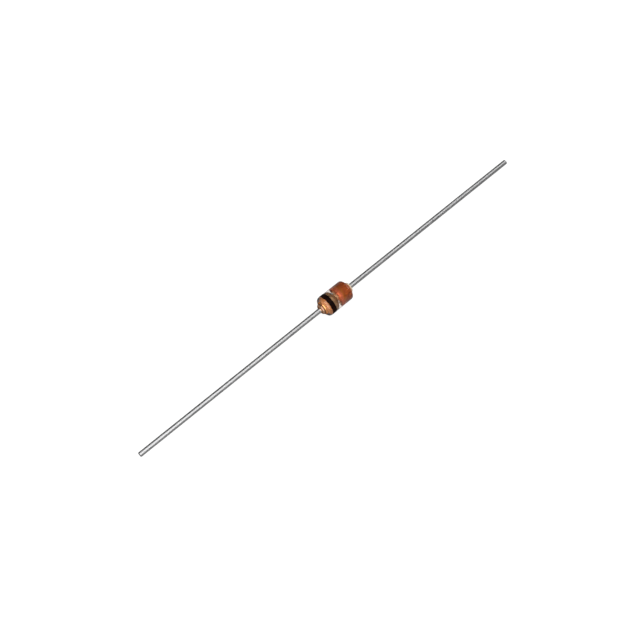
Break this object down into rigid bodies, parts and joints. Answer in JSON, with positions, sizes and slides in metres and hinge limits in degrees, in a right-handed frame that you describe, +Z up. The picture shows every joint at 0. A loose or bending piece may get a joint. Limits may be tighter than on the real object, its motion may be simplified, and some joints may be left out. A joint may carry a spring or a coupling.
{
  "type": "signal diode",
  "caption": "Axial signal diode: a clear glass sleeve fused over copper-clad slugs that clamp a silicon die, with a black cathode band and straight tinned wire leads.",
  "frame": {"origin": "centre of the glass body, on the axis of the leads", "axes": "+X along the leads from cathode to anode, +Z up"},
  "size_m": [0.048, 0.0022, 0.0022],
  "materials": {
    "glass": "clear, fire polished",
    "band_ink": "baked black ink, satin",
    "slug_copper": "copper cladding with red oxide under the glass",
    "lead_tin": "drawn wire, dull tin plating",
    "die_silicon": "sawn silicon",
    "bump_silver": "plated silver, pressed flat"
  },
  "bodies": {
    "root": {"glass_sleeve": "glass", "cathode_band": "band_ink", "cathode_slug": "slug_copper", "anode_slug": "slug_copper", "cathode_lead": "lead_tin", "anode_lead": "lead_tin", "silicon_die": "die_silicon", "contact_bump": "bump_silver"}
  },
  "joints": []
}
